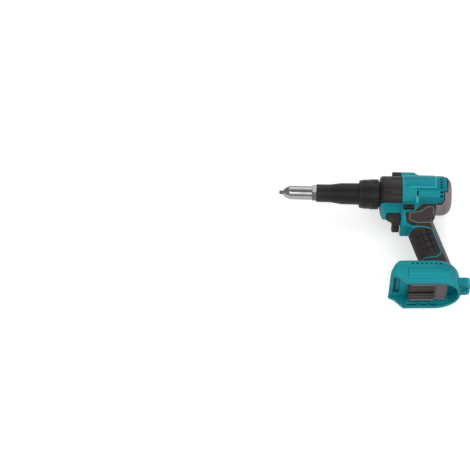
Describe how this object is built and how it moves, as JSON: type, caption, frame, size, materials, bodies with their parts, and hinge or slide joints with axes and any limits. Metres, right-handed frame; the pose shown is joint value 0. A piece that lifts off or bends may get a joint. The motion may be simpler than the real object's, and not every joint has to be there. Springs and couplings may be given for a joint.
{
  "type": "battery rivet tool",
  "caption": "Pistol-shaped battery rivet tool without its pack: slim nose, teal housing with soft grip, trigger, selector and slide-on foot, with a screw-driven puller inside.",
  "frame": {"origin": "middle of the bounding box in X and Y, on the surface that the tool lies on", "axes": "X runs along the barrel from the nose at -X to the rear cover at +X, Y points to the top of the tool and Z, up from the surface, to its left side; the tool lies on its right side"},
  "size_m": [0.302, 0.2318, 0.078],
  "materials": {
    "teal_plastic": "fine moulded texture",
    "soft_grip": "matt soft overmould",
    "cover_plastic": "matt",
    "black_plastic": "satin",
    "control_plastic": "satin",
    "bright_steel": "polished",
    "dark_steel": "blackened",
    "tool_steel": "ground",
    "motor_iron": "stacked sheets",
    "mount_alloy": "cast",
    "copper_wire": "lacquered",
    "bush_brass": "turned",
    "contact_brass": "plated",
    "terminal_plastic": "satin",
    "board": "potted",
    "fan_plastic": "satin"
  },
  "bodies": {
    "housing_body": {"left_housing": "teal_plastic", "right_housing": "teal_plastic", "left_grip": "soft_grip", "right_grip": "soft_grip", "rear_cover": "cover_plastic", "gear_case": "black_plastic", "lock_collar": "black_plastic", "nose_sleeve": "black_plastic", "switch_module": "control_plastic", "nose_housing": "bright_steel", "nosepiece": "dark_steel", "lock_nut": "dark_steel", "thrust_bearing": "tool_steel", "nut_bearing": "tool_steel", "ring_gear": "tool_steel", "front_bearing": "tool_steel", "rear_bearing": "tool_steel", "trigger_spring": "tool_steel", "housing_screws": "tool_steel", "gear_case_screws": "tool_steel", "cover_screws": "tool_steel", "stator_core": "motor_iron", "mount_plate": "mount_alloy", "stator_coils": "copper_wire", "guide_bush": "bush_brass", "battery_contacts": "contact_brass", "terminal_block": "terminal_plastic", "controller_board": "board"},
    "trigger_body": {"trigger": "control_plastic", "switch_plunger": "control_plastic"},
    "selector_body": {"direction_selector": "control_plastic"},
    "drive_body": {"drive_nut": "tool_steel", "planet_pins": "tool_steel"},
    "rotor_body": {"motor_shaft": "tool_steel", "rotor_core": "motor_iron", "fan": "fan_plastic", "sun_gear": "tool_steel"},
    "planet_1_body": {"planet_gear_1": "tool_steel"},
    "planet_2_body": {"planet_gear_2": "tool_steel"},
    "planet_3_body": {"planet_gear_3": "tool_steel"},
    "pull_body": {"pull_rod": "tool_steel", "jaw_case": "dark_steel", "jaw_spring": "tool_steel"},
    "jaw_1_body": {"jaw_1": "tool_steel"},
    "jaw_2_body": {"jaw_2": "tool_steel"},
    "jaw_3_body": {"jaw_3": "tool_steel"},
    "pusher_body": {"jaw_pusher": "dark_steel"}
  },
  "joints": [
    {"name": "trigger_slide", "type": "slide", "parent": "housing_body", "child": "trigger_body", "axis": [1, 0, 0], "range_m": [0, 0.007], "stiffness_N_per_m": 900, "springref_m": -0.002, "deforming": ["trigger_spring"]},
    {"name": "selector_slide", "type": "slide", "parent": "housing_body", "child": "selector_body", "axis": [0, 0, 1], "range_m": [-0.0035, 0.0035]},
    {"name": "drive_spin", "type": "hinge", "parent": "housing_body", "child": "drive_body", "pos_m": [0.0121, 0.07711, 0.039], "axis": [1, 0, 0], "range_deg": [0, 1440]},
    {"name": "rotor_spin", "type": "hinge", "parent": "housing_body", "child": "rotor_body", "pos_m": [0.07211, 0.07711, 0.039], "axis": [1, 0, 0], "range_deg": [0, 7201]},
    {"name": "pull_slide", "type": "slide", "parent": "housing_body", "child": "pull_body", "axis": [1, 0, 0], "range_m": [0, 0.02]},
    {"name": "planet_1_spin", "type": "hinge", "parent": "drive_body", "child": "planet_1_body", "pos_m": [0.03411, 0.07711, 0.0255], "axis": [1, 0, 0], "range_deg": [-3841, 0]},
    {"name": "planet_2_spin", "type": "hinge", "parent": "drive_body", "child": "planet_2_body", "pos_m": [0.03411, 0.0888, 0.04575], "axis": [1, 0, 0], "range_deg": [-3841, 0]},
    {"name": "planet_3_spin", "type": "hinge", "parent": "drive_body", "child": "planet_3_body", "pos_m": [0.03411, 0.06542, 0.04575], "axis": [1, 0, 0], "range_deg": [-3841, 0]},
    {"name": "jaw_1_slide", "type": "slide", "parent": "pull_body", "child": "jaw_1_body", "axis": [-0.9848, -0.1736, 0], "range_m": [0, 0.001]},
    {"name": "jaw_2_slide", "type": "slide", "parent": "pull_body", "child": "jaw_2_body", "axis": [-0.9848, 0.0868, -0.1504], "range_m": [0, 0.001]},
    {"name": "jaw_3_slide", "type": "slide", "parent": "pull_body", "child": "jaw_3_body", "axis": [-0.9848, 0.0868, 0.1504], "range_m": [0, 0.001]},
    {"name": "pusher_slide", "type": "slide", "parent": "pull_body", "child": "pusher_body", "axis": [-1, 0, 0], "range_m": [0, 0.001], "deforming": ["jaw_spring"]}
  ],
  "couplings": [
    {"joint": "rotor_spin", "follows": "drive_spin", "ratio": 5},
    {"joint": "pull_slide", "follows": "drive_spin", "m_per_rad": 0.00079577},
    {"joint": "planet_1_spin", "follows": "drive_spin", "ratio": -2.6667},
    {"joint": "planet_2_spin", "follows": "drive_spin", "ratio": -2.6667},
    {"joint": "planet_3_spin", "follows": "drive_spin", "ratio": -2.6667},
    {"joint": "jaw_1_slide", "follows": "drive_spin", "m_per_rad": 0.000039789},
    {"joint": "jaw_2_slide", "follows": "drive_spin", "m_per_rad": 0.000039789},
    {"joint": "jaw_3_slide", "follows": "drive_spin", "m_per_rad": 0.000039789},
    {"joint": "pusher_slide", "follows": "drive_spin", "m_per_rad": 0.000039184}
  ]
}
